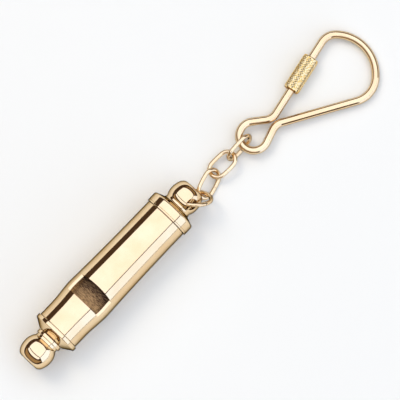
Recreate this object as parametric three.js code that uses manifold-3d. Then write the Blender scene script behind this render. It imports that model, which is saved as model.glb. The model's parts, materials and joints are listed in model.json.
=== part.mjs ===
// Whistle keyring: a two-note tube whistle in turned brass, a jump ring, three links and a wire key hook.
// Millimetres, +Z up. The whistle lies along +X from its mouth to its cap, and the hook lies beyond the cap.
import * as THREE from "three";
import { mergeVertices } from "three/addons/utils/BufferGeometryUtils.js";
import Module from "manifold-3d";

const wasm = await Module();
wasm.setup();

// Fits
const SEAT_GAP = 0.1; // between parts that are pushed or soldered together
const BUTT_GAP = 0.12; // between the two ends of a closed wire ring or link
const RING_SLACK = 0.14; // play of the first link on the ring
const LINK_SLACK = 0.5; // play of a link on the link before it

// Barrel: a drawn tube, raised round its windows
const BARREL_LENGTH = 40.5;
const BARREL_RADIUS = 6.25;
const BARREL_WALL = 0.55;
const SWELL_HEIGHT = 0.5;
const SWELL_START = 4; // from the mouth end of the tube
const SWELL_PEAK = 11.5;
const SWELL_END = 39;
const RISE_STATIONS = [0, 0.3, 0.5, 0.7, 1]; // shares of the swell's rise that get a section
const FALL_STATIONS = [0.12, 0.26, 0.42, 0.6, 0.8, 1]; // shares of its fall

// Sound windows, one on top and one below
const WINDOW_START = 9.5; // from the mouth end of the tube to the straight edge
const WINDOW_LENGTH = 5.1; // along the cut's floor
const WINDOW_FLOOR = 4; // height of the flat cut above the tube's axis
const WINDOW_LEAN = 12; // degrees that the sharp lip's face leans towards the cap
const CUTTER_MARGIN = 1; // of a cutter beyond what it cuts

// Mouthpiece, measured outwards from the tube's end
const RIM_RADIUS = 6.63;
const MOUTH_RIM_WIDTH = 1.15;
const MOUTH_RIM_ROUND = 0.3;
const MOUTH_CONE_LENGTH = 1.5;
const MOUTH_CONE_RADIUS = 4; // small end of the cone
const MOUTH_BEAD_LENGTH = 1.15;
const MOUTH_BEAD_RADIUS = 3.78;
const MOUTH_BEAD_ROUND = 0.22;
const MOUTH_BEAD_GROOVE = 0.06; // between the cone and the bead
const MOUTH_NECK_RADIUS = 3.4;
const MOUTH_BALL_RADIUS = 4.5;
const MOUTH_BALL_PLACE = 7.4; // from the tube's end to the ball's widest section
const MOUTH_BALL_FRONT = 3.65; // from the widest section to the flat end
const MOUTH_FLAT_RADIUS = 2.6;
const BLOW_HOLE_RADIUS = 1.5;
const AIR_CHEST_RADIUS = 4.95;
const AIR_CHEST_DEPTH = 1; // into the flange, beyond the spigot
const SPIGOT_LENGTH = 4.4; // of the mouthpiece and of the cap, inside the tube

// Windway block and the plates that part the tube into two chambers
const WINDWAY_FLAT = 4.75; // from the axis to each flat
const DIVIDER_THICKNESS = 0.6;
const STOP_THICKNESS = 1.2;
const STOP_PLACE = 30; // from the mouth end of the tube

// Cap, measured outwards from the tube's end
const CAP_RIM_WIDTH = 3.05;
const CAP_RIM_ROUND = 0.7;
const CAP_GROOVE_PLACE = 0.5; // from the tube's end to the groove that leaves a thin bead beside the tube
const CAP_GROOVE = 0.08; // half width and depth of the groove
const CAP_CONE_LENGTH = 1.15;
const CAP_CONE_RADIUS = 3.75;
const CAP_NECK_RADIUS = 3.65;
const CAP_BALL_RADIUS = 4.43;
const CAP_BALL_PLACE = 6.8;
const CAP_BALL_FRONT = 3.65;
const CAP_FLAT_RADIUS = 2.5;
const CAP_WALL = 0.68; // of the hollow ball
const CAP_POCKET_RADIUS = 2.65; // of the hollow in the neck
const CAP_POCKET_DEPTH = 3.4; // from the ball's centre back to the hollow's floor
const RING_HOLE_RADIUS = 1.6;
const RING_HOLE_INNER = 2.85; // radius where the hole opens into the hollow
const RING_HOLE_EDGE = 0.08; // thickness of the wall at the hole's edge
const RING_HOLE_FLARE = 44; // degrees that the hole opens inwards, to let the ring's bend pass
const RING_HOLE_LEAN = 40.5; // degrees from upright towards -Y

// Jump ring
const RING_WIRE = 1.1;
const RING_RADIUS = 5; // to the middle of the wire
const RING_REACH = 2.62; // of the ring's bend behind the ball's centre, to the middle of the wire
const RING_SWING = -44; // degrees about the hole, from straight ahead
const RING_HANG = -23.8; // degrees round the ring from its far end to where the chain hangs
const RING_SEAM = 75; // degrees round the ring from its far end to its butted ends

// Chain links
const LINK_WIRE = 1.12;
const LINK_LENGTH = 7.88; // between the middles of the two end bars
const LINK_WIDTH = 4.66; // between the middles of the two bowed sides
const LINK_END_RADIUS = 2.24; // to the middle of the wire, at each end
const LINK_POSES = [ // degrees
  { yaw: 15.5, pitch: 1, roll: 39 },
  { yaw: -3, pitch: 6, roll: -16 },
  { yaw: 1, pitch: 1.5, roll: 70 },
];

// Hook, bent from one wire
const HOOK_WIRE = 2.15;
const HOOK_NOSE = 10.05; // from the middle of the sleeve to the first bend
const HOOK_CROWN_RADIUS = 4.4;
const HOOK_CROWN_BEND = 57.3; // degrees, as every bend here
const HOOK_BOW_RADIUS = 10.4;
const HOOK_BOW_BEND = 90; // degrees
const HOOK_SIDE = 0.6; // short straight between the bow and the heel
const HOOK_HEEL_RADIUS = 6.76;
const HOOK_HEEL_BEND = 73.8; // degrees
const HOOK_LEG = 20.7; // long straight from the heel back to the pinch
const HOOK_PINCH_RADIUS = 3.64;
const HOOK_PINCH_BEND = 47.9; // degrees
const HOOK_THROAT = 3.7; // straight side of the eye
const HOOK_EYE_RADIUS = 3.8;
const HOOK_EYE_BEND = 236.1; // degrees
const HOOK_YAW = 11; // degrees from +X to the sleeve's axis
const HOOK_PITCH = -0.8; // degrees
const HOOK_ROLL = 3; // degrees
const HOOK_EYE_TURN = 118; // degrees round the eye to the spot that sits in the last link
const HOOK_SLACK = 1.28; // play of the eye in the last link

// Lock sleeve over the gap in the hook
const SLEEVE_LENGTH = 10.1;
const SLEEVE_RADIUS = 2.22;
const SLEEVE_CLEARANCE = 0.12;
const SLEEVE_CHAMFER = 0.35;
const NOSE_GRIP = 2.2; // length of the nose inside the sleeve
const GATE_GAP = 3; // between the nose and the leg

// Facets
const TURNED_FACETS = 40;
const WIRE_FACETS = 10;
const HOOK_FACETS = 12;
const WIRE_STEP = 0.75;
const HOOK_STEP = 1;
const CORNER_STEPS = 3; // chords of a rounded corner
const BALL_STEPS = 7; // chords of each half of a ball

const BORE_RADIUS = BARREL_RADIUS - BARREL_WALL;
const SEAT_RADIUS = BORE_RADIUS - SEAT_GAP;
const RING_CENTRE = RING_RADIUS - RING_REACH; // ahead of the ball's centre
const AXIS_HEIGHT = RIM_RADIUS * Math.cos(Math.PI / TURNED_FACETS);
const FULL_TURN = 360; // degrees
const radians = THREE.MathUtils.degToRad;
const degrees = THREE.MathUtils.radToDeg;

const FINISHES = {
  polished: { color: 0xe9c46a, roughness: 0.08, metalness: 1 },
  drawn: { color: 0xa9824a, roughness: 0.35, metalness: 1 },
  knurled: { color: 0xdcb556, roughness: 0.28, metalness: 1 },
};

// A named piece with a material of its own.
function piece(name, geometry, finish) {
  const made = new THREE.Mesh(geometry, new THREE.MeshStandardMaterial(finish));
  made.name = name;
  return made;
}

// A closed geometry as a solid that can be cut.
function solidOf(geometry) {
  const bare = geometry.index ? geometry.toNonIndexed() : geometry.clone();
  bare.deleteAttribute("normal");
  bare.deleteAttribute("uv");
  const merged = mergeVertices(bare, 1e-4);
  const triVerts = new Uint32Array(merged.index.array);
  const vertProperties = merged.attributes.position.array;
  return new wasm.Manifold(new wasm.Mesh({ numProp: 3, vertProperties, triVerts }));
}

function geometryOf(solid) {
  const mesh = solid.getMesh();
  const geometry = new THREE.BufferGeometry();
  geometry.setAttribute("position", new THREE.BufferAttribute(mesh.vertProperties, 3));
  geometry.setIndex(new THREE.BufferAttribute(mesh.triVerts, 1));
  geometry.computeVertexNormals();
  return geometry;
}

function cut(geometry, tools) {
  let solid = solidOf(geometry);
  for (const tool of tools) {
    solid = solid.subtract(solidOf(tool));
  }
  return geometryOf(solid);
}

// Turns a profile of (radius, distance along the axis) about +X, with a flat facet underneath.
function turned(profile) {
  const half = Math.PI / TURNED_FACETS;
  return new THREE.LatheGeometry(profile, TURNED_FACETS, half).rotateZ(-Math.PI / 2);
}

const at = (radius, along) => new THREE.Vector2(radius, along);

// Points of an elliptical arc in a turned profile, from one angle to another about (radius, along).
function arc(radius, along, semiRadius, semiAlong, from, to, steps) {
  const curve = new THREE.EllipseCurve(
    radius, along, semiRadius, semiAlong, radians(from), radians(to), to < from,
  );
  return curve.getPoints(steps);
}

// How far the tube is raised at a distance from its mouth end: a quick rise and a long fall.
function swell(along) {
  if (along < SWELL_PEAK) {
    return SWELL_HEIGHT * THREE.MathUtils.smoothstep(along, SWELL_START, SWELL_PEAK);
  }
  const left = THREE.MathUtils.clamp((SWELL_END - along) / (SWELL_END - SWELL_PEAK), 0, 1);
  return SWELL_HEIGHT * left ** 2;
}

// The window's cutter: flat floor, upright edge towards the mouth and a leaning lip towards the cap.
function windowCutter() {
  const top = BARREL_RADIUS + SWELL_HEIGHT + CUTTER_MARGIN;
  const lean = (top - WINDOW_FLOOR) * Math.tan(radians(WINDOW_LEAN));
  const end = WINDOW_START + WINDOW_LENGTH;
  const outline = new THREE.Shape([
    at(WINDOW_START, WINDOW_FLOOR), at(end, WINDOW_FLOOR), at(end + lean, top), at(WINDOW_START, top),
  ]);
  const width = 2 * top;
  const cutter = new THREE.ExtrudeGeometry(outline, { depth: width, bevelEnabled: false });
  return cutter.translate(0, 0, -width / 2).rotateX(Math.PI / 2);
}

function barrel() {
  const rise = RISE_STATIONS.map((t) => THREE.MathUtils.lerp(SWELL_START, SWELL_PEAK, t));
  const fall = FALL_STATIONS.map((t) => THREE.MathUtils.lerp(SWELL_PEAK, SWELL_END, t));
  const stations = [0, ...rise, ...fall, BARREL_LENGTH];
  const outside = stations.map((along) => at(BARREL_RADIUS + swell(along), along));
  const inside = stations.map((along) => at(BORE_RADIUS + swell(along), along)).reverse();
  const tube = turned([...outside, ...inside, outside[0]]);
  const upper = windowCutter();
  const lower = windowCutter().rotateX(Math.PI);
  return piece("barrel", cut(tube, [upper, lower]), FINISHES.polished);
}

// Rim and cone of a flange, from the tube's end outwards; both ends of the whistle have one.
function flange(rimWidth, round, coneLength, coneRadius) {
  const slope = degrees(Math.atan2(RIM_RADIUS - coneRadius, coneLength + round));
  return [
    ...arc(RIM_RADIUS - round, rimWidth - round, round, round, 0, slope, CORNER_STEPS),
    at(coneRadius, rimWidth + coneLength),
  ];
}

// A flattened ball on a neck, from the neck out to the edge of its flat end; both ends have one.
function finial(place, radius, front, flatRadius, neckRadius) {
  const neckAngle = -degrees(Math.acos(neckRadius / radius));
  const back = arc(0, place, radius, radius, neckAngle, 0, BALL_STEPS);
  const face = arc(flatRadius, place, radius - flatRadius, front, 0, 90, BALL_STEPS);
  return [...back, ...face.slice(1)];
}

// The mouthpiece's profile runs outwards along +X here and is turned round to face the mouth.
function mouthpiece() {
  const beadStart = MOUTH_RIM_WIDTH + MOUTH_CONE_LENGTH;
  const bead = [MOUTH_BEAD_GROOVE + MOUTH_BEAD_ROUND, MOUTH_BEAD_LENGTH - MOUTH_BEAD_ROUND];
  const corners = bead.map((along, side) => arc(
    MOUTH_BEAD_RADIUS - MOUTH_BEAD_ROUND, beadStart + along, MOUTH_BEAD_ROUND, MOUTH_BEAD_ROUND,
    90 * side - 90, 90 * side, CORNER_STEPS,
  ));
  const end = MOUTH_BALL_PLACE + MOUTH_BALL_FRONT;
  const profile = [
    at(AIR_CHEST_RADIUS, -SPIGOT_LENGTH),
    at(SEAT_RADIUS, -SPIGOT_LENGTH),
    at(SEAT_RADIUS, 0),
    at(RIM_RADIUS, 0),
    ...flange(MOUTH_RIM_WIDTH, MOUTH_RIM_ROUND, MOUTH_CONE_LENGTH, MOUTH_CONE_RADIUS),
    at(MOUTH_NECK_RADIUS, beadStart),
    ...corners.flat(),
    at(MOUTH_NECK_RADIUS, beadStart + MOUTH_BEAD_LENGTH),
    ...finial(MOUTH_BALL_PLACE, MOUTH_BALL_RADIUS, MOUTH_BALL_FRONT, MOUTH_FLAT_RADIUS, MOUTH_NECK_RADIUS),
    at(BLOW_HOLE_RADIUS, end),
    at(BLOW_HOLE_RADIUS, beadStart),
    at(AIR_CHEST_RADIUS, AIR_CHEST_DEPTH),
    at(AIR_CHEST_RADIUS, -SPIGOT_LENGTH),
  ];
  const made = piece("mouthpiece", turned(profile), FINISHES.polished);
  made.rotation.z = Math.PI;
  return made;
}

// A plug that fills the bore but for a flat above and a flat below, which leave the windways.
function windwayBlock() {
  const start = SPIGOT_LENGTH + SEAT_GAP;
  const slope = Math.asin(WINDWAY_FLAT / SEAT_RADIUS);
  const outline = new THREE.Shape();
  outline.absarc(0, 0, SEAT_RADIUS, -slope, slope, false);
  outline.absarc(0, 0, SEAT_RADIUS, Math.PI - slope, Math.PI + slope, false);
  outline.closePath();
  const options = { depth: WINDOW_START - start, bevelEnabled: false, curveSegments: TURNED_FACETS / 8 };
  const block = new THREE.ExtrudeGeometry(outline, options).rotateY(Math.PI / 2).rotateX(Math.PI / 2);
  const made = piece("windway_block", block, FINISHES.drawn);
  made.position.x = start;
  return made;
}

function dividerPlate() {
  const start = WINDOW_START + SEAT_GAP;
  const end = BARREL_LENGTH - SPIGOT_LENGTH - SEAT_GAP;
  const plate = new THREE.BoxGeometry(end - start, 2 * (SEAT_RADIUS - SEAT_GAP), DIVIDER_THICKNESS);
  const made = piece("divider_plate", plate, FINISHES.drawn);
  made.position.x = (start + end) / 2;
  return made;
}

// A half disc under the divider, which shortens the lower chamber.
function chamberStop() {
  const top = DIVIDER_THICKNESS / 2 + SEAT_GAP;
  const lift = Math.asin(top / SEAT_RADIUS);
  const outline = new THREE.Shape();
  outline.absarc(0, 0, SEAT_RADIUS, lift, Math.PI - lift, false);
  outline.closePath();
  const options = { depth: STOP_THICKNESS, bevelEnabled: false, curveSegments: TURNED_FACETS / 4 };
  const disc = new THREE.ExtrudeGeometry(outline, options).rotateY(Math.PI / 2).rotateX(-Math.PI / 2);
  const made = piece("chamber_stop", disc, FINISHES.drawn);
  made.position.x = STOP_PLACE;
  return made;
}

// The hollow of the ball and its neck, which the ring's bend swings in.
function ballHollow() {
  const front = CAP_BALL_FRONT - CAP_WALL;
  const floor = CAP_BALL_PLACE - CAP_POCKET_DEPTH;
  return turned([
    at(0, floor),
    at(CAP_POCKET_RADIUS, floor),
    ...finial(CAP_BALL_PLACE, CAP_BALL_RADIUS - CAP_WALL, front, CAP_FLAT_RADIUS, CAP_POCKET_RADIUS),
    at(0, CAP_BALL_PLACE + front),
  ]);
}

// The cross hole through both walls of the ball: narrow outside and opening inwards.
function ringHole() {
  const out = CAP_BALL_RADIUS + CUTTER_MARGIN;
  const edge = Math.sqrt(CAP_BALL_RADIUS ** 2 - RING_HOLE_RADIUS ** 2) - RING_HOLE_EDGE;
  const deep = edge - (RING_HOLE_INNER - RING_HOLE_RADIUS) / Math.tan(radians(RING_HOLE_FLARE));
  const half = [at(RING_HOLE_INNER, deep), at(RING_HOLE_RADIUS, edge), at(RING_HOLE_RADIUS, out), at(0, out)];
  const other = half.map((point) => at(point.x, -point.y)).reverse();
  const hole = new THREE.LatheGeometry([...other, ...half], TURNED_FACETS / 2);
  return hole.rotateX(Math.PI / 2 + radians(RING_HOLE_LEAN)).translate(CAP_BALL_PLACE, 0, 0);
}

function topCap() {
  const groove = [-1, 0, 1].map((side) => at(
    RIM_RADIUS - CAP_GROOVE * (1 - Math.abs(side)), CAP_GROOVE_PLACE + CAP_GROOVE * side,
  ));
  const profile = [
    at(0, -SPIGOT_LENGTH),
    at(SEAT_RADIUS, -SPIGOT_LENGTH),
    at(SEAT_RADIUS, 0),
    at(RIM_RADIUS, 0),
    ...groove,
    ...flange(CAP_RIM_WIDTH, CAP_RIM_ROUND, CAP_CONE_LENGTH, CAP_CONE_RADIUS),
    ...finial(CAP_BALL_PLACE, CAP_BALL_RADIUS, CAP_BALL_FRONT, CAP_FLAT_RADIUS, CAP_NECK_RADIUS),
    at(0, CAP_BALL_PLACE + CAP_BALL_FRONT),
  ];
  return piece("top_cap", cut(turned(profile), [ballHollow(), ringHole()]), FINISHES.polished);
}

// One arc of a bent wire, in the XY plane.
class BendCurve extends THREE.Curve {
  constructor(start, heading, radius, turn) {
    super();
    Object.assign(this, { start, heading, radius, turn });
  }

  getPoint(t, target = new THREE.Vector3()) {
    const side = Math.sign(this.turn);
    const now = this.heading + t * this.turn;
    const dx = side * this.radius * (Math.sin(now) - Math.sin(this.heading));
    const dy = side * this.radius * (Math.cos(this.heading) - Math.cos(now));
    return target.set(this.start.x + dx, this.start.y + dy, 0);
  }
}

// Follows straights and bends as a wire bender does; an entry with a radius is a bend by so many degrees.
function bentWire(start, heading, entries) {
  const path = new THREE.CurvePath();
  let place = start.clone();
  let facing = heading;
  for (const { straight, radius, bend } of entries) {
    if (radius) {
      path.add(new BendCurve(place, facing, radius, radians(bend)));
      facing += radians(bend);
    } else {
      const ahead = new THREE.Vector3(Math.cos(facing), Math.sin(facing), 0);
      path.add(new THREE.LineCurve3(place, ahead.multiplyScalar(straight).add(place)));
    }
    place = path.curves[path.curves.length - 1].getPoint(1);
  }
  return { path, place, facing };
}

// A round wire swept along a path.
function wireAlong(path, diameter, facets, step) {
  const section = new THREE.Shape();
  section.absarc(0, 0, diameter / 2, 0, 2 * Math.PI, false);
  const steps = Math.round(path.getLength() / step);
  return new THREE.ExtrudeGeometry(section, { extrudePath: path, steps, curveSegments: facets / 2 });
}

// The ring is one bend all the way round, with its ends butted at the seam.
function jumpRing() {
  const gap = BUTT_GAP / RING_RADIUS;
  const from = radians(RING_SEAM) + gap / 2;
  const start = new THREE.Vector3(Math.cos(from), Math.sin(from), 0).multiplyScalar(RING_RADIUS);
  const round = [{ radius: RING_RADIUS, bend: FULL_TURN - degrees(gap) }];
  const { path } = bentWire(start, from + Math.PI / 2, round);
  const ring = wireAlong(path, RING_WIRE, WIRE_FACETS, WIRE_STEP);
  ring.rotateX(Math.PI / 2).translate(RING_CENTRE, 0, 0);
  return piece("jump_ring", ring, FINISHES.polished);
}

// A link's wire: two end bends and two bowed sides that run into each other, butted amid one side.
function linkPath() {
  const reach = LINK_LENGTH / 2 - LINK_END_RADIUS;
  const half = LINK_WIDTH / 2;
  const sideRadius = (reach ** 2 + half ** 2 - LINK_END_RADIUS ** 2) / (2 * (half - LINK_END_RADIUS));
  const endBend = 2 * degrees(Math.atan2(sideRadius - half, reach));
  const sideBend = FULL_TURN / 2 - endBend;
  const gap = BUTT_GAP / sideRadius;
  const halfSide = { radius: sideRadius, bend: (sideBend - degrees(gap)) / 2 };
  const end = { radius: LINK_END_RADIUS, bend: endBend };
  const middle = new THREE.Vector3(0, -half, 0);
  const start = new BendCurve(middle, 0, sideRadius, gap / 2).getPoint(1);
  const side = { radius: sideRadius, bend: sideBend };
  return bentWire(start, gap / 2, [halfSide, end, side, end, halfSide]).path;
}

// A link whose near end bar hangs from a wire at the link's own origin, and which runs along +X.
function chainLink(number, hungFrom, slack) {
  const near = (hungFrom + LINK_WIRE) / 2 + slack;
  const link = wireAlong(linkPath(), LINK_WIRE, WIRE_FACETS, WIRE_STEP);
  link.translate(LINK_LENGTH / 2 - near, 0, 0);
  const made = piece("chain_link_" + number, link, FINISHES.polished);
  made.userData.farEnd = new THREE.Vector3(LINK_LENGTH - near, 0, 0);
  return made;
}

// The hook's wire in its own plane: the sleeve's axis is +X, and the wire runs from the nose to the leg.
function hookPath() {
  const noseEnd = SLEEVE_LENGTH / 2 - NOSE_GRIP;
  const legEnd = new THREE.Vector3(noseEnd - GATE_GAP, 0, 0);
  const bentSoFar = HOOK_CROWN_BEND + HOOK_BOW_BEND + HOOK_HEEL_BEND - HOOK_PINCH_BEND + HOOK_EYE_BEND;
  const legBend = bentSoFar - FULL_TURN;
  const upToEye = [
    { straight: HOOK_NOSE - noseEnd },
    { radius: HOOK_CROWN_RADIUS, bend: -HOOK_CROWN_BEND },
    { radius: HOOK_BOW_RADIUS, bend: -HOOK_BOW_BEND },
    { straight: HOOK_SIDE },
    { radius: HOOK_HEEL_RADIUS, bend: -HOOK_HEEL_BEND },
    { straight: HOOK_LEG },
    { radius: HOOK_PINCH_RADIUS, bend: HOOK_PINCH_BEND },
    { straight: HOOK_THROAT },
    { radius: HOOK_EYE_RADIUS, bend: -HOOK_EYE_BEND },
  ];
  const start = new THREE.Vector3(noseEnd, 0, 0);
  const eye = bentWire(start, 0, upToEye);
  const pinch = bentWire(eye.place, eye.facing, [{ radius: HOOK_PINCH_RADIUS, bend: legBend }]);
  // Two straights close the shape: one after the eye, and the leg that runs into the sleeve.
  const after = -pinch.place.y / Math.sin(eye.facing);
  const leg = legEnd.x - pinch.place.x - after * Math.cos(eye.facing);
  const whole = [
    ...upToEye,
    { straight: after },
    { radius: HOOK_PINCH_RADIUS, bend: legBend },
    { straight: leg },
  ];
  const eyeBend = eye.path.curves[eye.path.curves.length - 1];
  return { path: bentWire(start, 0, whole).path, eyeBend };
}

function hookWire(path) {
  return piece("hook_wire", wireAlong(path, HOOK_WIRE, HOOK_FACETS, HOOK_STEP), FINISHES.polished);
}

function lockSleeve() {
  const bore = HOOK_WIRE / 2 + SLEEVE_CLEARANCE;
  const half = SLEEVE_LENGTH / 2;
  const profile = [
    at(bore, -half), at(SLEEVE_RADIUS - SLEEVE_CHAMFER, -half), at(SLEEVE_RADIUS, SLEEVE_CHAMFER - half),
    at(SLEEVE_RADIUS, half - SLEEVE_CHAMFER), at(SLEEVE_RADIUS - SLEEVE_CHAMFER, half), at(bore, half),
    at(bore, -half),
  ];
  return piece("lock_sleeve", turned(profile), FINISHES.knurled);
}

function whistle() {
  const group = new THREE.Group();
  const cap = topCap();
  cap.position.x = BARREL_LENGTH + SEAT_GAP;
  const mouth = mouthpiece();
  mouth.position.x = -SEAT_GAP;
  group.add(barrel(), mouth, windwayBlock(), dividerPlate(), chamberStop(), cap);
  group.position.z = AXIS_HEIGHT;
  return group;
}

// The ring swings about the ball's hole: its group's Z is the hole's axis and its X runs to the far end.
function ringGroup() {
  const hole = new THREE.Group();
  hole.position.set(BARREL_LENGTH + SEAT_GAP + CAP_BALL_PLACE, 0, AXIS_HEIGHT);
  hole.rotation.x = radians(RING_HOLE_LEAN);
  const swing = new THREE.Group();
  swing.rotation.z = radians(RING_SWING);
  swing.add(jumpRing());
  hole.add(swing);
  hole.updateMatrixWorld(true);
  const hang = radians(RING_HANG);
  const far = new THREE.Vector3(RING_CENTRE + RING_RADIUS * Math.cos(hang), 0, RING_RADIUS * Math.sin(hang));
  return { hole, chainStart: far.applyMatrix4(swing.matrixWorld) };
}

function chain(start) {
  const group = new THREE.Group();
  let hang = start;
  LINK_POSES.forEach(({ yaw, pitch, roll }, index) => {
    const link = index ? chainLink(index + 1, LINK_WIRE, LINK_SLACK) : chainLink(1, RING_WIRE, RING_SLACK);
    link.position.copy(hang);
    link.rotation.set(radians(roll), radians(-pitch), radians(yaw), "ZYX");
    link.updateMatrixWorld(true);
    hang = link.userData.farEnd.clone().applyMatrix4(link.matrixWorld);
    group.add(link);
  });
  return { group, end: hang };
}

// The eye sits over the last link's end bar, and the hook runs on from there.
function hook(hangPoint, lastPose) {
  const { path, eyeBend } = hookPath();
  const group = new THREE.Group();
  group.add(hookWire(path), lockSleeve());
  group.rotation.set(radians(HOOK_ROLL), radians(-HOOK_PITCH), radians(HOOK_YAW), "ZYX");
  group.updateMatrixWorld(true);
  const seat = eyeBend.getPoint(HOOK_EYE_TURN / HOOK_EYE_BEND).applyMatrix4(group.matrixWorld);
  const back = (LINK_WIRE + HOOK_WIRE) / 2 + HOOK_SLACK;
  const along = new THREE.Vector3(1, 0, 0);
  along.applyEuler(new THREE.Euler(0, radians(-lastPose.pitch), radians(lastPose.yaw), "ZYX"));
  group.position.copy(hangPoint).addScaledVector(along, -back).sub(seat);
  return group;
}

// The keyring is set down with the bottom centre of its box at the origin.
function keyring() {
  const group = new THREE.Group();
  const { hole, chainStart } = ringGroup();
  const links = chain(chainStart);
  group.add(whistle(), hole, links.group, hook(links.end, LINK_POSES[LINK_POSES.length - 1]));
  group.updateMatrixWorld(true);
  const box = new THREE.Box3().setFromObject(group, true);
  const middle = box.getCenter(new THREE.Vector3());
  group.position.set(-middle.x, -middle.y, -box.min.z);
  const set = new THREE.Group();
  set.add(group);
  return set;
}

export default keyring();
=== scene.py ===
"""Looks of a whistle keyring in gilt brass.

A two-note tube whistle hangs by a jump ring and three links from a key hook. Metres, +Z up, in the frame
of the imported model. The whistle lies along +X, and the hook lies beyond its cap.
"""

import json
import logging
import math
from dataclasses import dataclass, field
from enum import Enum

import bmesh
import bpy
from mathutils import Matrix, Vector


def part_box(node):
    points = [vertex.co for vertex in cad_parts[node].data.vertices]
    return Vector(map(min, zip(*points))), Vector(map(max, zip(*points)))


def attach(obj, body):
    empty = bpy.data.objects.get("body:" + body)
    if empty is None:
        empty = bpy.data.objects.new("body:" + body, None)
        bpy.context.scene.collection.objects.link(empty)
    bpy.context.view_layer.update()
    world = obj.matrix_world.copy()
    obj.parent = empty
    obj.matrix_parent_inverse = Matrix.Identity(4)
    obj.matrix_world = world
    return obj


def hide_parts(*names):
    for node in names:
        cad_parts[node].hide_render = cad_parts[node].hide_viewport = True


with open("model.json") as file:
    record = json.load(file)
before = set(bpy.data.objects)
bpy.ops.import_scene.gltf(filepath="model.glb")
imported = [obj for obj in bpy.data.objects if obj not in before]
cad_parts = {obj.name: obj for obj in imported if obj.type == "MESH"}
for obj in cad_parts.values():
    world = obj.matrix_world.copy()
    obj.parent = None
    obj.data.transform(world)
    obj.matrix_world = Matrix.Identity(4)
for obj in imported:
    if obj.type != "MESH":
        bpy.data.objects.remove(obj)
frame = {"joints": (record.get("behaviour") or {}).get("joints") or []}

MM = 0.001
PHOTO_SIDE = 400
# A profile's point with a smaller radius than this, in metres, lies on the axis.
ON_AXIS = 1e-9
# Facets across the broken edge of a plate.
EDGE_FACETS = 2
Profile = list[tuple[float, float]]

log = logging.getLogger("keyring")


class Slot(Enum):
    """The record's material slots."""

    POLISHED = "polished_brass"
    DRAWN = "drawn_brass"
    KNURLED = "knurled_brass"


class Body(Enum):
    """The bodies that move by themselves."""

    WHISTLE = "whistle"
    RING = "ring"
    LINK_1 = "link_1"
    LINK_2 = "link_2"
    LINK_3 = "link_3"
    HOOK = "hook"
    SLEEVE = "sleeve"


def linear(code: str) -> tuple[float, float, float, float]:
    """Turns an sRGB hex colour into linear values.

    Args:
        code: The colour as "#RRGGBB".

    Returns:
        Red, green, blue and an alpha of 1.
    """
    parts = [int(code[place:place + 2], 16) / 255 for place in (1, 3, 5)]
    red, green, blue = (p / 12.92 if p <= 0.04045 else ((p + 0.055) / 1.055) ** 2.4 for p in parts)
    return red, green, blue, 1.0


def add_node(tree: bpy.types.NodeTree, kind: str, settings: dict | None = None,
             inputs: dict | None = None) -> bpy.types.Node:
    """Adds a node with its settings, values and links.

    Args:
        tree: The tree that gets the node.
        kind: Blender's name of the node's type.
        settings: Values for the node's own properties.
        inputs: A value, or a socket to link from, for each input by name or number.

    Returns:
        The new node.
    """
    node = tree.nodes.new(kind)
    for name, value in (settings or {}).items():
        setattr(node, name, value)
    for name, value in (inputs or {}).items():
        if isinstance(value, bpy.types.NodeSocket):
            tree.links.new(value, node.inputs[name])
        else:
            node.inputs[name].default_value = value
    return node


def joint(name: str) -> dict:
    """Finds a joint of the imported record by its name."""
    return next(entry for entry in frame["joints"] if entry["name"] == name)


def pivot(name: str) -> Vector:
    """Gives the point that a hinge turns about."""
    return Vector(joint(name)["pos_m"])


def direction(name: str) -> Vector:
    """Gives the unit vector along a joint's axis."""
    return Vector(joint(name)["axis"]).normalized()


def placed(origin: Vector, along: Vector, side: Vector) -> Matrix:
    """Builds the frame of a piece from its place and two directions.

    Args:
        origin: Where the piece's own origin lies.
        along: The piece's X axis.
        side: A vector near the piece's Y axis.

    Returns:
        The matrix from the piece's own axes to the keyring's.
    """
    x_axis = along.normalized()
    z_axis = x_axis.cross(side).normalized()
    y_axis = z_axis.cross(x_axis)
    turn = Matrix((x_axis, y_axis, z_axis)).transposed()
    return Matrix.Translation(origin) @ turn.to_4x4()


def arc(centre: tuple[float, float], semi: tuple[float, float], start: float, end: float,
        steps: int) -> Profile:
    """Lists points on an elliptical arc of a turned profile.

    Args:
        centre: Radius and distance along the axis of the arc's middle.
        semi: Half sizes of the ellipse in radius and along the axis.
        start: First angle in degrees; 0 points outwards and 90 along the axis.
        end: Last angle in degrees.
        steps: Number of chords.

    Returns:
        Pairs of radius and distance along the axis.
    """
    angles = [math.radians(start + (end - start) * step / steps) for step in range(steps + 1)]
    return [(centre[0] + semi[0] * math.cos(a), centre[1] + semi[1] * math.sin(a)) for a in angles]


def mesh_from(build: bmesh.types.BMesh, name: str) -> bpy.types.Mesh:
    """Turns a closed bmesh into a mesh with its faces pointing outwards, and frees the bmesh."""
    bmesh.ops.recalc_face_normals(build, faces=build.faces)
    mesh = bpy.data.meshes.new(name)
    build.to_mesh(mesh)
    build.free()
    return mesh


def turned(name: str, profile: Profile, segments: int) -> bpy.types.Mesh:
    """Turns a profile about +X into a closed mesh.

    Args:
        name: Name of the mesh.
        profile: Pairs of radius and distance along the axis. It closes on itself, or starts and ends on
            the axis.
        segments: Facets round the axis.

    Returns:
        The mesh, on the turned piece's own axes.
    """
    build = bmesh.new()
    angles = [2 * math.pi * step / segments for step in range(segments)]
    rings = []
    for radius, along in profile:
        if radius < ON_AXIS:
            rings.append([build.verts.new((along, 0, 0))] * segments)
            continue
        round_axis = [(along, radius * math.cos(a), radius * math.sin(a)) for a in angles]
        rings.append([build.verts.new(point) for point in round_axis])
    pairs = list(zip(rings, rings[1:]))
    if profile[0][0] > ON_AXIS:
        pairs.append((rings[-1], rings[0]))
    for near, far in pairs:
        for step in range(segments):
            after = (step + 1) % segments
            corners = [near[step], near[after], far[after], far[step]]
            build.faces.new(list(dict.fromkeys(corners)))
    return mesh_from(build, name)


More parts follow.
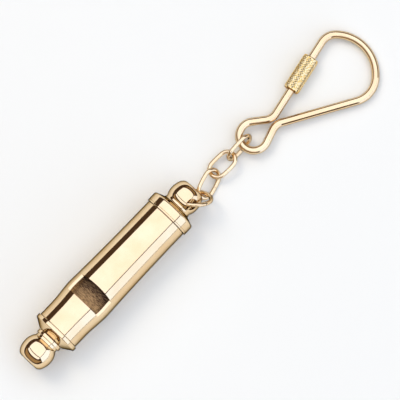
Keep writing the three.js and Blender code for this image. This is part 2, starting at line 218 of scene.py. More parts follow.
def prism(build: bmesh.types.BMesh, near: list[tuple], far: list[tuple]) -> list[bmesh.types.BMFace]:
    """Adds a solid between two outlines of as many points to a bmesh.

    Args:
        build: The bmesh that gets the solid.
        near: Points of the first outline.
        far: Points of the second outline.

    Returns:
        The two end faces.
    """
    first, last = ([build.verts.new(point) for point in outline] for outline in (near, far))
    ends = [build.faces.new(first), build.faces.new(last)]
    for step in range(len(first)):
        after = (step + 1) % len(first)
        build.faces.new((first[step], first[after], last[after], last[step]))
    return ends


def extruded(name: str, outline: Profile, start: float, end: float, bevel: float) -> bpy.types.Mesh:
    """Extrudes an outline in the YZ plane along +X and breaks its end edges.

    Args:
        name: Name of the mesh.
        outline: Points of the outline as pairs of Y and Z.
        start: Where the extrusion starts on X.
        end: Where it ends on X.
        bevel: Width of the broken edge at both ends.

    Returns:
        The closed mesh.
    """
    build = bmesh.new()
    ends = prism(build, [(start, y, z) for y, z in outline], [(end, y, z) for y, z in outline])
    rims = [edge for face in ends for edge in face.edges]
    bmesh.ops.bevel(build, geom=rims, offset=bevel, segments=EDGE_FACETS, affect="EDGES",
                    clamp_overlap=True)
    return mesh_from(build, name)


def smoothed(mesh: bpy.types.Mesh, sharp: float) -> bpy.types.Mesh:
    """Shades a mesh smooth but for edges that turn by more than an angle in degrees."""
    mesh.polygons.foreach_set("use_smooth", [True] * len(mesh.polygons))
    mesh.set_sharp_from_angle(angle=math.radians(sharp))
    return mesh


def in_scene(name: str, data: bpy.types.ID) -> bpy.types.Object:
    """Puts a mesh, a lamp or a camera into the scene.

    Args:
        name: Name of the object.
        data: What it shows.

    Returns:
        The object, at the origin.
    """
    thing = bpy.data.objects.new(name, data)
    bpy.context.scene.collection.objects.link(thing)
    return thing


def evaluated(thing: bpy.types.Object, name: str) -> bpy.types.Mesh:
    """Gives an object's mesh with its modifiers applied, and removes the object.

    Args:
        thing: A scratch object with live modifiers.
        name: Name of the new mesh.

    Returns:
        A plain mesh.
    """
    graph = bpy.context.evaluated_depsgraph_get()
    mesh = bpy.data.meshes.new_from_object(thing.evaluated_get(graph))
    mesh.name = name
    thing.modifiers.clear()
    bpy.data.objects.remove(thing)
    return mesh


def cut(mesh: bpy.types.Mesh, cutters: list[bpy.types.Mesh]) -> bpy.types.Mesh:
    """Cuts closed meshes out of another.

    Args:
        mesh: The closed mesh that is cut.
        cutters: The closed meshes that are taken away.

    Returns:
        What is left.
    """
    name = mesh.name
    thing = in_scene(name, mesh)
    tools = [in_scene(cutter.name, cutter) for cutter in cutters]
    for tool in tools:
        modifier = thing.modifiers.new("cut", "BOOLEAN")
        modifier.operation = "DIFFERENCE"
        modifier.solver = "EXACT"
        modifier.object = tool
    made = evaluated(thing, name)
    for tool in tools:
        bpy.data.objects.remove(tool)
    return made


class NodeTool:
    """A Geometry Nodes tree with named inputs that makes one kind of repeated or swept shape."""

    def __init__(self, name: str, inputs: dict[str, str]) -> None:
        """Starts the tree.

        Args:
            name: Name of the tree.
            inputs: The socket type of each named input.
        """
        self.tree = bpy.data.node_groups.new(name, "GeometryNodeTree")
        face = self.tree.interface
        face.new_socket("Geometry", in_out="INPUT", socket_type="NodeSocketGeometry")
        face.new_socket("Geometry", in_out="OUTPUT", socket_type="NodeSocketGeometry")
        self.sockets = {
            title: face.new_socket(title, in_out="INPUT", socket_type=kind).identifier
            for title, kind in {**inputs, "Material": "NodeSocketMaterial"}.items()
        }
        self.source = add_node(self.tree, "NodeGroupInput").outputs

    def end(self, geometry: bpy.types.NodeSocket) -> None:
        """Realizes what was made, gives it its material and ends the tree."""
        real = add_node(self.tree, "GeometryNodeRealizeInstances", inputs={"Geometry": geometry})
        smooth = add_node(self.tree, "GeometryNodeSetShadeSmooth", inputs={"Geometry": real.outputs[0]})
        dressed = add_node(self.tree, "GeometryNodeSetMaterial",
                           inputs={"Geometry": smooth.outputs[0], "Material": self.source["Material"]})
        add_node(self.tree, "NodeGroupOutput", inputs={"Geometry": dressed.outputs[0]})

    def run(self, mesh: bpy.types.Mesh, name: str, values: dict) -> bpy.types.Mesh:
        """Runs the tree on a mesh.

        Args:
            mesh: The path or body that the tree starts from.
            name: Name of the result.
            values: A value for each named input.

        Returns:
            A plain mesh with its material.
        """
        thing = in_scene(mesh.name, mesh)
        modifier = thing.modifiers.new(self.tree.name, "NODES")
        modifier.node_group = self.tree
        for title, value in values.items():
            modifier[self.sockets[title]] = value
        return evaluated(thing, name)


class WireTool(NodeTool):
    """Draws round wire along a path of edges, with a flat cut at each end."""

    def __init__(self) -> None:
        """Builds the tree."""
        super().__init__("drawn wire", {
            "Wire Radius": "NodeSocketFloat", "Section Points": "NodeSocketInt"})
        path = add_node(self.tree, "GeometryNodeMeshToCurve", inputs={"Mesh": self.source["Geometry"]})
        section = add_node(self.tree, "GeometryNodeCurvePrimitiveCircle", inputs={
            "Resolution": self.source["Section Points"], "Radius": self.source["Wire Radius"]})
        wire = add_node(self.tree, "GeometryNodeCurveToMesh", inputs={
            "Curve": path.outputs[0], "Profile Curve": section.outputs[0], "Fill Caps": True})
        self.end(wire.outputs[0])


class KnurlTool(NodeTool):
    """Rolls a diamond knurl round a turned body that lies along X.

    A diamond has four sides, and its blunt tip's width is a small share of its foot's. The sums find a
    diamond's place and size from its number. Each has a name, an operation and its one or two terms.
    """

    SIDES = 4
    TIP = 0.12
    SUMS = (
        ("count", "MULTIPLY", "Columns", "Rows"),
        ("rows before", "DIVIDE", "index", "Columns"),
        ("row", "FLOOR", "rows before"),
        ("column", "MODULO", "index", "Columns"),
        ("odd row", "MODULO", "row", 2),
        ("offset", "MULTIPLY", "odd row", 0.5),
        ("column set over", "ADD", "column", "offset"),
        ("turn", "DIVIDE", math.tau, "Columns"),
        ("angle", "MULTIPLY", "column set over", "turn"),
        ("last row", "SUBTRACT", "Rows", 1),
        ("middle row", "MULTIPLY", "last row", 0.5),
        ("rows off middle", "SUBTRACT", "row", "middle row"),
        ("half pitch", "MULTIPLY", "Pitch", 0.5),
        ("along", "MULTIPLY", "rows off middle", "half pitch"),
        ("cosine", "COSINE", "angle"),
        ("across", "MULTIPLY", "Radius", "cosine"),
        ("sine", "SINE", "angle"),
        ("up", "MULTIPLY", "Radius", "sine"),
        ("lean", "SUBTRACT", "angle", math.pi / 2),
        ("width", "MULTIPLY", "turn", "Radius"),
        ("half width", "MULTIPLY", "width", 0.5),
    )

    def __init__(self) -> None:
        """Builds the tree: small blunt pyramids in rows that are set over by half a pitch."""
        super().__init__("diamond knurl", {
            "Radius": "NodeSocketFloat", "Height": "NodeSocketFloat", "Pitch": "NodeSocketFloat",
            "Columns": "NodeSocketInt", "Rows": "NodeSocketInt"})
        found = {title: self.source[title] for title in self.sockets}
        found["index"] = add_node(self.tree, "GeometryNodeInputIndex").outputs[0]
        for title, operation, *terms in self.SUMS:
            inputs = {number: found.get(term, term) for number, term in enumerate(terms)}
            node = add_node(self.tree, "ShaderNodeMath", {"operation": operation}, inputs)
            found[title] = node.outputs[0]
        place = add_node(self.tree, "ShaderNodeCombineXYZ",
                         inputs={"X": found["along"], "Y": found["across"], "Z": found["up"]})
        points = add_node(self.tree, "GeometryNodePoints",
                          inputs={"Count": found["count"], "Position": place.outputs[0]})
        facing = add_node(self.tree, "ShaderNodeCombineXYZ", inputs={"X": found["lean"]})
        size = add_node(self.tree, "ShaderNodeCombineXYZ", inputs={
            "X": found["half pitch"], "Y": found["half width"], "Z": found["Height"]})
        pyramid = add_node(self.tree, "GeometryNodeMeshCone", inputs={
            "Vertices": self.SIDES, "Radius Top": self.TIP, "Radius Bottom": 1.0, "Depth": 1.0})
        diamonds = add_node(self.tree, "GeometryNodeInstanceOnPoints", inputs={
            "Points": points.outputs[0], "Instance": pyramid.outputs[0], "Rotation": facing.outputs[0],
            "Scale": size.outputs[0]})
        both = add_node(self.tree, "GeometryNodeJoinGeometry")
        self.tree.links.new(diamonds.outputs[0], both.inputs[0])
        self.tree.links.new(self.source["Geometry"], both.inputs[0])
        self.end(both.outputs[0])


class ThreadTool(NodeTool):
    """Winds a fine thread along Z, as a ridge of few facets."""

    TURN_FACETS = 40
    RIDGE_FACETS = 6

    def __init__(self) -> None:
        """Builds the tree."""
        super().__init__("screw thread", {
            "Radius": "NodeSocketFloat", "Length": "NodeSocketFloat", "Turns": "NodeSocketFloat",
            "Depth": "NodeSocketFloat"})
        helix = add_node(self.tree, "GeometryNodeCurveSpiral", inputs={
            "Resolution": self.TURN_FACETS, "Rotations": self.source["Turns"],
            "Start Radius": self.source["Radius"], "End Radius": self.source["Radius"],
            "Height": self.source["Length"]})
        section = add_node(self.tree, "GeometryNodeCurvePrimitiveCircle", inputs={
            "Resolution": self.RIDGE_FACETS, "Radius": self.source["Depth"]})
        ridge = add_node(self.tree, "GeometryNodeCurveToMesh", inputs={
            "Curve": helix.outputs[0], "Profile Curve": section.outputs[0], "Fill Caps": True})
        self.end(ridge.outputs[0])


@dataclass(frozen=True)
class BrassFinish:
    """A surface of brass: patches of two colours, a grain that varies the gloss, and a low relief.

    Patches, grain and relief are noises with a size in metres, drawn out by the stretch. The spread says
    where the patches go from dull to bright, and the grain's span where the gloss goes from one roughness to
    the other. Painted shade darkens the patches along +X over its span, as a shadow would, and stays full
    past its end.
    """

    name: str
    bright: str
    dull: str
    edge: str
    roughness: tuple[float, float]
    patch: float
    grain: float
    relief_grain: float
    relief: float
    stretch: tuple[float, float, float] = (1, 1, 1)
    spread: tuple[float, float] = (0.35, 0.65)
    grain_span: tuple[float, float] = (0.3, 0.7)
    noise_detail: float = 3
    # Painted shade: how far it darkens the patches, and the span along +X over which it deepens.
    painted_shade: float = 0
    painted_shade_span: tuple[float, float] = (0, 1)

    def material(self) -> bpy.types.Material:
        """Builds the material.

        Returns:
            The finished material.
        """
        made = bpy.data.materials.new(self.name)
        made.use_nodes = True
        tree = made.node_tree
        shader = tree.nodes["Principled BSDF"]
        shader.inputs["Metallic"].default_value = 1
        shader.inputs["Specular Tint"].default_value = linear(self.edge)
        where = add_node(tree, "ShaderNodeTexCoord").outputs["Object"]
        scale = tuple(1 / share for share in self.stretch)
        along = add_node(tree, "ShaderNodeMapping", inputs={"Vector": where, "Scale": scale})
        patch, grain, wave = (
            add_node(tree, "ShaderNodeTexNoise", inputs={
                "Vector": along.outputs[0], "Scale": 1 / size, "Detail": self.noise_detail}).outputs[0]
            for size in (self.patch, self.grain, self.relief_grain))
        # Painted shade: the patches darken along +X over the span and stay dark past its end.
        if self.painted_shade:
            place = add_node(tree, "ShaderNodeSeparateXYZ", inputs={"Vector": where})
            depth = add_node(tree, "ShaderNodeMapRange", inputs={
                "Value": place.outputs["X"], "From Min": self.painted_shade_span[0],
                "From Max": self.painted_shade_span[1], "To Max": self.painted_shade})
            patch = add_node(tree, "ShaderNodeMath", {"operation": "SUBTRACT"},
                             {0: patch, 1: depth.outputs[0]}).outputs[0]
        blend = add_node(tree, "ShaderNodeValToRGB", inputs={"Fac": patch})
        ends = blend.color_ramp.elements
        ends[0].position, ends[1].position = self.spread
        ends[0].color, ends[1].color = linear(self.dull), linear(self.bright)
        tree.links.new(blend.outputs[0], shader.inputs["Base Color"])
        gloss = add_node(tree, "ShaderNodeMapRange", inputs={
            "Value": grain, "From Min": self.grain_span[0], "From Max": self.grain_span[1],
            "To Min": self.roughness[0], "To Max": self.roughness[1]})
        tree.links.new(gloss.outputs[0], shader.inputs["Roughness"])
        bump = add_node(tree, "ShaderNodeBump", inputs={
            "Strength": 1, "Distance": self.relief, "Height": wave})
        tree.links.new(bump.outputs[0], shader.inputs["Normal"])
        return made


@dataclass(frozen=True)
class GiltBrass(BrassFinish):
    """Turned and drawn brass, buffed to a mirror and flash gilt.

    The eye sees a warm mirror: cream where it faces the light, brown where it faces the room, with a
    dark line at the edge of every round, and a faint haze and waviness from the buff.
    """

    name: str = "gilt brass, mirror polished"
    bright: str = "#F6DCB4"
    dull: str = "#F1D2A6"
    edge: str = "#140B06"
    roughness: tuple[float, float] = (0.035, 0.08)
    patch: float = 7 * MM
    grain: float = 0.9 * MM
    relief_grain: float = 5 * MM
    relief: float = 0.004 * MM


@dataclass(frozen=True)
class DrawnBrass(BrassFinish):
    """Brass strip and rod, filed across the tube and left bare inside.

    The eye sees a dull brown gold with short scratches. Painted shade darkens it from the windway's end
    towards the window's lip, which overhangs it, and stays full beyond. Real file marks lie about 0.05 mm
    apart, and these are drawn coarser so that they show.
    """

    name: str = "bare brass, filed"
    bright: str = "#DDB078"
    dull: str = "#3A2822"
    edge: str = "#3A2616"
    roughness: tuple[float, float] = (0.32, 0.5)
    patch: float = 0.16 * MM
    grain: float = 0.12 * MM
    relief_grain: float = 0.14 * MM
    relief: float = 0.006 * MM
    stretch: tuple[float, float, float] = (1, 5, 1)
    spread: tuple[float, float] = (0.15, 0.8)
    # Painted shade under the window's lip: how far the patches darken towards it.
    painted_shade: float = 0.3


@dataclass(frozen=True)
class KnurledGilt(BrassFinish):
    """Brass with a rolled diamond knurl, gilt and not buffed.

    The eye sees deep yellow gold, because light bounces from facet to facet, with a bright glint on each
    tip.
    """

    name: str = "gilt brass, knurled"
    bright: str = "#FFF0C8"
    dull: str = "#E9BF66"
    edge: str = "#B08A50"
    roughness: tuple[float, float] = (0.08, 0.2)
    patch: float = 0.4 * MM
    grain: float = 0.4 * MM
    relief_grain: float = 0.3 * MM
    relief: float = 0.006 * MM


def bare_brass() -> DrawnBrass:
    """Gives the inside's finish, with painted shade laid over the length of the sound windows, deepest at
    the lip.
    """
    windway_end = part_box("windway_block")[1].x
    lip = windway_end + Whistle.window_length
    return DrawnBrass(painted_shade_span=(windway_end, lip))


@dataclass
class Workshop:
    """The finishes and the wire and knurl tools that every sub-assembly shares."""

    polished: bpy.types.Material = field(default_factory=lambda: GiltBrass().material())
    drawn: bpy.types.Material = field(default_factory=lambda: bare_brass().material())
    knurled: bpy.types.Material = field(default_factory=lambda: KnurledGilt().material())
    wire: WireTool = field(default_factory=WireTool)
    knurl: KnurlTool = field(default_factory=KnurlTool)
    thread: ThreadTool = field(default_factory=ThreadTool)
    wire_sharp: float = 50

    def finish(self, slot: Slot) -> bpy.types.Material:
        """Gives the finish that belongs to a material slot."""
        return {Slot.POLISHED: self.polished, Slot.DRAWN: self.drawn, Slot.KNURLED: self.knurled}[slot]

    def hand_over(self, mesh: bpy.types.Mesh, name: str, body: Body, slot: Slot,
                  node: str | None) -> None:
        """Makes a finished mesh a piece that rides on its body.

        Args:
            mesh: The mesh, in place in the keyring's frame.
            name: Name of the piece.
            body: The body that it moves with.
            slot: The material slot that it takes its finish from.
            node: The solid that it stands for, if there is one.
        """
        if not mesh.materials:
            mesh.materials.append(self.finish(slot))
        thing = in_scene(name, mesh)
        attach(thing, body.value)
        if node:
            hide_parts(node)
        log.info("%s rides on %s with %d faces", name, body.value, len(mesh.polygons))

    def drawn_wire(self, name: str, path: list[Vector], radius: float, points: int,
                   slot: Slot) -> bpy.types.Mesh:
        """Draws wire along a path.

        Args:
            name: Name of the mesh.
            path: Points along the middle of the wire.
            radius: Half the wire's thickness.
            points: Corners of the wire's section.
            slot: The material slot of its finish.

        Returns:
            The wire as a closed mesh.
        """
        line = bpy.data.meshes.new(name + " path")
        line.from_pydata([tuple(p) for p in path], [(i, i + 1) for i in range(len(path) - 1)], [])
        values = {"Wire Radius": radius, "Section Points": points, "Material": self.finish(slot)}
        return smoothed(self.wire.run(line, name, values), self.wire_sharp)


@dataclass
class Whistle:
    """The tube whistle: barrel, mouthpiece, cap and the plates inside.

    Places are distances from the tube's end outwards, leans and flares are in degrees, and the facets are
    counted along each round of a profile.
    """

    shop: Workshop
    segments: int = 144
    tube_radius: float = 6.22 * MM
    wall: float = 0.55 * MM
    end_round: float = 0.12 * MM
    swell_height: float = 0.5 * MM
    swell_start: float = 4 * MM
    swell_peak: float = 11.5 * MM
    swell_end: float = 39 * MM
    station: float = 0.3 * MM
    window_start: float = 9.5 * MM
    window_length: float = 5.1 * MM
    window_floor: float = 4 * MM
    window_lean: float = 12
    seat_gap: float = 0.1 * MM
    spigot: float = 4.4 * MM
    mouth_rim: float = 1.15 * MM
    mouth_round: float = 0.3 * MM
    mouth_cone: float = 1.5 * MM
    mouth_cone_radius: float = 4 * MM
    bead_length: float = 1.15 * MM
    bead_radius: float = 3.78 * MM
    bead_round: float = 0.22 * MM
    bead_groove: float = 0.06 * MM
    mouth_neck: float = 3.4 * MM
    mouth_ball: float = 4.5 * MM
    mouth_ball_place: float = 7.4 * MM
    mouth_ball_front: float = 3.65 * MM
    mouth_flat: float = 2.6 * MM
    blow_hole: float = 1.5 * MM
    air_chest: float = 4.95 * MM
    air_chest_depth: float = 1 * MM
    windway_flat: float = 4.75 * MM
    divider_thickness: float = 0.6 * MM
    stop_thickness: float = 1.2 * MM
    stop_place: float = 30 * MM
    cap_rim: float = 3.05 * MM
    cap_round: float = 0.7 * MM
    cap_groove_place: float = 0.5 * MM
    cap_groove: float = 0.08 * MM
    cap_cone: float = 1 * MM
    cap_cone_radius: float = 3.5 * MM
    cap_cove: float = 0.8 * MM
    cap_ball: float = 4.43 * MM
    cap_ball_place: float = 6.8 * MM
    cap_ball_front: float = 3.65 * MM
    cap_flat: float = 2.5 * MM
    cap_wall: float = 0.68 * MM
    cap_pocket: float = 2.65 * MM
    cap_pocket_depth: float = 3.4 * MM
    ring_hole: float = 1.6 * MM
    hole_inner: float = 2.85 * MM
    hole_edge: float = 0.08 * MM
    hole_flare: float = 44
    hole_facets: int = 96
    plate_edge: float = 0.08 * MM
    plate_side: float = 80
    inner_stations: int = 3
    edge_facets: int = 4
    bead_facets: int = 8
    groove_facets: int = 8
    shoulder_facets: int = 10
    cove_facets: int = 16
    ball_back_facets: int = 20
    ball_front_facets: int = 28
    block_facets: int = 40
    plate_facets: int = 10
    stop_facets: int = 60
    tube_sharp: float = 30
    turned_sharp: float = 32

    def __post_init__(self) -> None:
        """Finds the whistle's axis and the ends of its tube in the frame."""
        low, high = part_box("barrel")
        self.tube_length = high.x - low.x
        mouth_low, mouth_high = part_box("mouthpiece")
        middle = (mouth_low + mouth_high) / 2
        self.start = Vector((low.x, middle.y, middle.z))
        self.rim_radius = middle.z - mouth_low.z
        self.seat_radius = self.tube_radius - self.wall - self.seat_gap

    def build(self) -> None:
        """Makes every piece of the whistle."""
        self.barrel()
        self.mouthpiece()
        self.inside()
        self.cap()

    def swell(self, along: float) -> float:
        """Gives how far the tube is raised at a distance from its mouth end."""
        if along < self.swell_peak:
            part = (along - self.swell_start) / (self.swell_peak - self.swell_start)
            part = min(max(part, 0), 1)
            return self.swell_height * part * part * (3 - 2 * part)
        left = (self.swell_end - along) / (self.swell_end - self.swell_peak)
        return self.swell_height * max(left, 0) ** 2

    def window_cutter(self, side: int) -> bpy.types.Mesh:
        """Makes the cutter of the upper (+1) or lower (-1) sound window."""
        top = 2 * self.tube_radius
        lean = (top - self.window_floor) * math.tan(math.radians(self.window_lean))
        end = self.window_start + self.window_length
        outline = [(self.window_start, self.window_floor), (end, self.window_floor),
                   (end + lean, top), (self.window_start, top)]
        build = bmesh.new()
        prism(build, *([(x, y, side * z) for x, z in outline] for y in (-top, top)))
        return mesh_from(build, "window cutter")

    def barrel(self) -> None:
        """Turns the drawn tube with its swell and cuts both windows."""
        count = round(self.tube_length / self.station)
        places = [self.tube_length * step / count for step in range(count + 1)]
        inner = self.tube_radius - self.wall
        soft = self.end_round
        outside = [(self.tube_radius + self.swell(x), x) for x in places[1:-1]]
        middle = self.tube_radius - soft
        near = arc((middle, soft), (soft, soft), -90, 0, self.edge_facets)
        far = arc((middle, self.tube_length - soft), (soft, soft), 0, 90, self.edge_facets)
        inside = [(inner + self.swell(x), x) for x in reversed(places[::self.inner_stations])]
        tube = turned("barrel", [*near, *outside, *far, *inside], self.segments)
        tube = cut(tube, [self.window_cutter(1), self.window_cutter(-1)])
        smoothed(tube, self.tube_sharp)
        tube.transform(Matrix.Translation(self.start))
        self.shop.hand_over(tube, "tube", Body.WHISTLE, Slot.POLISHED, "barrel")

    def flange(self, rim: float, soft: float, cone: float, cone_radius: float,
               groove: Profile) -> Profile:
        """Gives the rim and cone of a flange, from the tube's end outwards.

        Args:
            rim: Width of the rim.
            soft: Radius of the rounded shoulder between rim and cone.
            cone: Length of the cone.
            cone_radius: Radius of the cone's small end.
            groove: Points of a groove in the rim, if it has one.

        Returns:
            Pairs of radius and distance along the axis.
        """
        slope = math.degrees(math.atan2(self.rim_radius - cone_radius, cone + soft))
        edge = self.end_round
        return [
            *arc((self.rim_radius - edge, edge), (edge, edge), -90, 0, self.edge_facets),
            *groove,
            *arc((self.rim_radius - soft, rim - soft), (soft, soft), 0, slope, self.shoulder_facets),
            (cone_radius, rim + cone),
        ]

    def finial(self, place: float, radius: float, front: float, flat: float, neck: float) -> Profile:
        """Gives a flattened ball on a neck, out to the edge of its flat end.

        Args:
            place: Where the ball's middle lies along the axis.
            radius: The ball's radius.
            front: How far the ball reaches past its middle.
            flat: Radius of the flat end.
            neck: Radius of the neck that the ball grows from.

        Returns:
            Pairs of radius and distance along the axis.
        """
        back = -math.degrees(math.acos(neck / radius))
        return [
            *arc((0, place), (radius, radius), back, 0, self.ball_back_facets),
            *arc((flat, place), (radius - flat, front), 0, 90, self.ball_front_facets)[1:],
        ]

    def mouthpiece(self) -> None:
        """Turns the mouthpiece: spigot, flange, bead and ball with the blow hole."""
        soft = self.bead_round
        bead_start = self.mouth_rim + self.mouth_cone
        bead_core = self.bead_radius - soft
        bead_end = bead_start + self.bead_length
        bead_near = (bead_core, bead_start + self.bead_groove + soft)
        bead_far = (bead_core, bead_end - soft)
        end = self.mouth_ball_place + self.mouth_ball_front
        profile = [
            (self.air_chest, -self.spigot),
            (self.seat_radius, -self.spigot),
            (self.seat_radius, 0),
            *self.flange(self.mouth_rim, self.mouth_round, self.mouth_cone, self.mouth_cone_radius, []),
            (self.mouth_neck, bead_start),
            *arc(bead_near, (soft, soft), -90, 0, self.bead_facets),
            *arc(bead_far, (soft, soft), 0, 90, self.bead_facets),
            (self.mouth_neck, bead_end),
            *self.finial(self.mouth_ball_place, self.mouth_ball, self.mouth_ball_front,
                         self.mouth_flat, self.mouth_neck),
            (self.blow_hole, end),
            (self.blow_hole, bead_start),
            (self.air_chest, self.air_chest_depth),
        ]
        mesh = smoothed(turned("mouthpiece", profile, self.segments), self.turned_sharp)
        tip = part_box("mouthpiece")[0].x
        origin = Vector((tip + end, self.start.y, self.start.z))
        mesh.transform(placed(origin, Vector((-1, 0, 0)), Vector((0, -1, 0))))
        self.shop.hand_over(mesh, "mouth_end", Body.WHISTLE, Slot.POLISHED, "mouthpiece")

    def hollow_cutter(self) -> bpy.types.Mesh:
        """Makes the cutter of the hollow in the ball and its neck, on the ball's own axes."""
        front = self.cap_ball_front - self.cap_wall
        hollow = self.finial(0, self.cap_ball - self.cap_wall, front, self.cap_flat, self.cap_pocket)
        depth = -self.cap_pocket_depth
        profile = [(0, depth), (self.cap_pocket, depth), *hollow, (0, front)]
        return turned("hollow cutter", profile, self.segments)

    def hole_cutter(self) -> bpy.types.Mesh:
        """Makes the cutter of the ball's cross hole, which opens inwards, on the ball's own axes."""
        out = 2 * self.cap_ball
        edge = math.sqrt(self.cap_ball ** 2 - self.ring_hole ** 2) - self.hole_edge
        deep = edge - (self.hole_inner - self.ring_hole) / math.tan(math.radians(self.hole_flare))
        half = [(self.hole_inner, deep), (self.ring_hole, edge), (self.ring_hole, out), (0, out)]
        other = [(radius, -along) for radius, along in reversed(half)]
        cutter = turned("hole cutter", [*other, *half], self.hole_facets)
        hole = direction("ring_swing")
        cutter.transform(placed(Vector(), hole, Vector((1, 0, 0))))
        return cutter

    def cove(self, top: tuple[float, float], foot: tuple[float, float]) -> Profile:
        """Rounds the hollow between the cap's cone and its ball.

        Args:
            top: Where the cone starts, as radius and distance along the axis.
            foot: Where it would end without the rounding.

        Returns:
            Pairs of radius and distance along the axis, from the cone to the ball.
        """
        down = (Vector(foot) - Vector(top)).normalized()
        out = Vector((down.y, -down.x))
        start = Vector(top) + out * self.cap_cove
        ball = Vector((0, self.cap_ball_place))
        reach = self.cap_ball + self.cap_cove
        run = (ball - start).dot(down) - math.sqrt(reach ** 2 - (ball - start).dot(out) ** 2)
        middle = start + down * run
        first = math.degrees(math.atan2(-out.y, -out.x)) % 360
        last = math.degrees(math.atan2(ball.y - middle.y, ball.x - middle.x))
        return arc(tuple(middle), (self.cap_cove, self.cap_cove), first, last, self.cove_facets)

    def cap(self) -> None:
        """Turns the cap and drills its ball for the ring."""
        end = self.cap_ball_place + self.cap_ball_front
        groove = arc((self.rim_radius, self.cap_groove_place), (-self.cap_groove, self.cap_groove),
                     -90, 90, self.groove_facets)
        *flange, top, foot = self.flange(self.cap_rim, self.cap_round, self.cap_cone,
                                         self.cap_cone_radius, groove)
        *cove, neck = self.cove(top, foot)
        profile = [
            (0, -self.spigot),
            (self.seat_radius, -self.spigot),
            (self.seat_radius, 0),
            *flange,
            top,
            *cove,
            *self.finial(self.cap_ball_place, self.cap_ball, self.cap_ball_front, self.cap_flat,
                         neck[0]),
            (0, end),
        ]
        mesh = turned("cap", profile, self.segments)
        mesh.transform(Matrix.Translation((-self.cap_ball_place, 0, 0)))
        mesh = smoothed(cut(mesh, [self.hollow_cutter(), self.hole_cutter()]), self.turned_sharp)
        mesh.transform(Matrix.Translation(pivot("ring_swing")))
        self.shop.hand_over(mesh, "cap_end", Body.WHISTLE, Slot.POLISHED, "top_cap")

    def inside(self) -> None:
        """Makes the windway block, the divider and the chamber stop."""
        place = Matrix.Translation(self.start)
        seat = (self.seat_radius, self.seat_radius)
        slope = math.degrees(math.asin(self.windway_flat / self.seat_radius))
        round_side = arc((0, 0), seat, -slope, slope, self.block_facets)
        outline = [*round_side, *[(-y, -z) for y, z in round_side]]
        start = self.spigot + self.seat_gap
        block = extruded("windway block", outline, start, self.window_start, self.plate_edge)
        half = self.seat_radius - self.seat_gap
        thick = self.divider_thickness / 2
        side = arc((half - thick, 0), (thick, thick), -self.plate_side, self.plate_side, self.plate_facets)
        plate_outline = [*side, *[(-y, -z) for y, z in side]]
        end = self.tube_length - self.spigot - self.seat_gap
        plate = extruded("divider", plate_outline, self.window_start + self.seat_gap, end,
                         self.plate_edge)
        lift = math.degrees(math.asin((thick + self.seat_gap) / self.seat_radius))
        half_disc = arc((0, 0), seat, -180 + lift, -lift, self.stop_facets)
        stop = extruded("chamber stop", half_disc, self.stop_place,
                        self.stop_place + self.stop_thickness, self.plate_edge)
        made = ((block, "windway_plug", "windway_block"), (plate, "divider", "divider_plate"),
                (stop, "chamber_end", "chamber_stop"))
        for mesh, name, node in made:
            smoothed(mesh, self.tube_sharp)
            mesh.transform(place)
            self.shop.hand_over(mesh, name, Body.WHISTLE, Slot.DRAWN, node)


def bend(path: list[Vector], heading: float, radius: float, turn: float, step: float) -> float:
    """Adds one bend to a wire's path in the XY plane.

    Args:
        path: The points so far; the bend starts at the last one.
        heading: Direction at the start, in radians from +X.
        radius: Radius to the middle of the wire.
        turn: Angle in degrees, positive to the left.
        step: Distance between points.

    Returns:
        The direction at the bend's end.
    """
    start = path[-1].copy()
    whole = math.radians(turn)
    side = math.copysign(1, whole)
    count = max(2, round(abs(whole) * radius / step))
    for number in range(1, count + 1):
        now = heading + whole * number / count
        across = side * radius * (math.sin(now) - math.sin(heading))
        up = side * radius * (math.cos(heading) - math.cos(now))
        path.append(start + Vector((across, up, 0)))
    return heading + whole


def run_on(path: list[Vector], heading: float, length: float, step: float) -> None:
    """Adds a straight to a wire's path in the XY plane."""
    start = path[-1].copy()
    ahead = Vector((math.cos(heading), math.sin(heading), 0))
    count = max(1, round(length / step))
    path.extend(start + ahead * (length * number / count) for number in range(1, count + 1))


